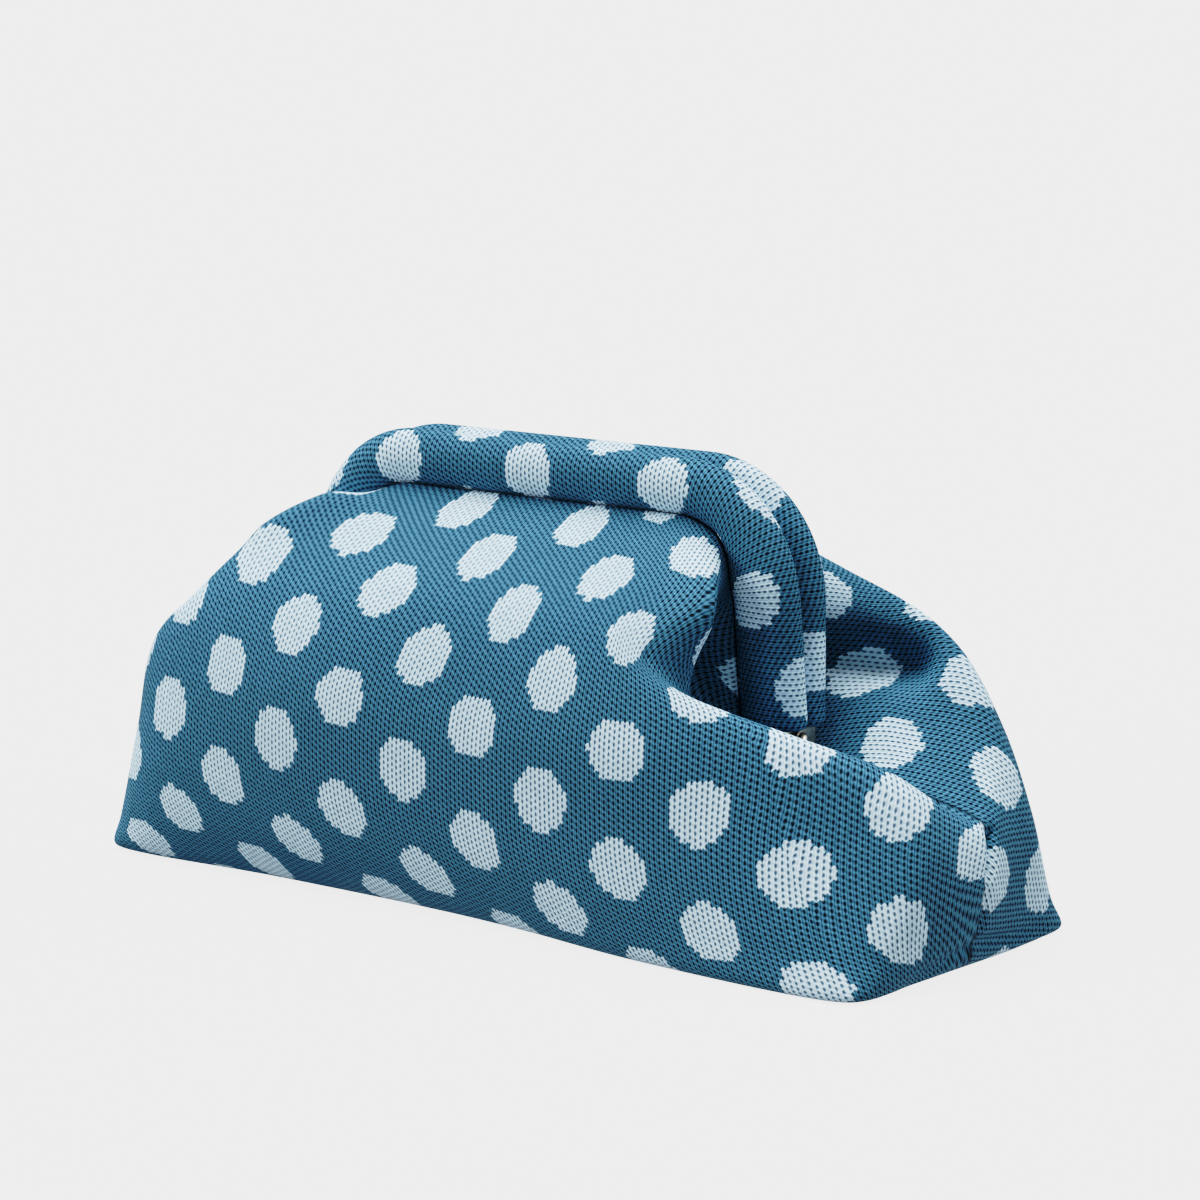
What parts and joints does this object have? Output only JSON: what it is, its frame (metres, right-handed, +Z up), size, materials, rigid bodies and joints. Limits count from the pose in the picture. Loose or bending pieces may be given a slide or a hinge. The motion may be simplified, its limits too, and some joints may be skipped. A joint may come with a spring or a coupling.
{
  "type": "frame pouch bag",
  "caption": "Soft knit clutch with a boxed base, gathered on a hinged steel frame whose bows lie in plump padded casings; stands shut on its flat sole.",
  "frame": {"origin": "middle of the flat sole, on the surface that the bag stands on", "axes": "+X along the length of the bag, -Y towards the front panel, +Z up through the frame"},
  "size_m": [0.3398, 0.1262, 0.153],
  "materials": {
    "dotted_knit": "thick jacquard knit, blue with pale dots",
    "frame_steel": "satin nickel"
  },
  "bodies": {
    "root": {"pouch": "dotted_knit", "front_casing": "dotted_knit", "back_casing": "dotted_knit", "front_bow": "frame_steel", "back_bow": "frame_steel", "hinge_pin_left": "frame_steel", "hinge_pin_right": "frame_steel"}
  },
  "joints": []
}
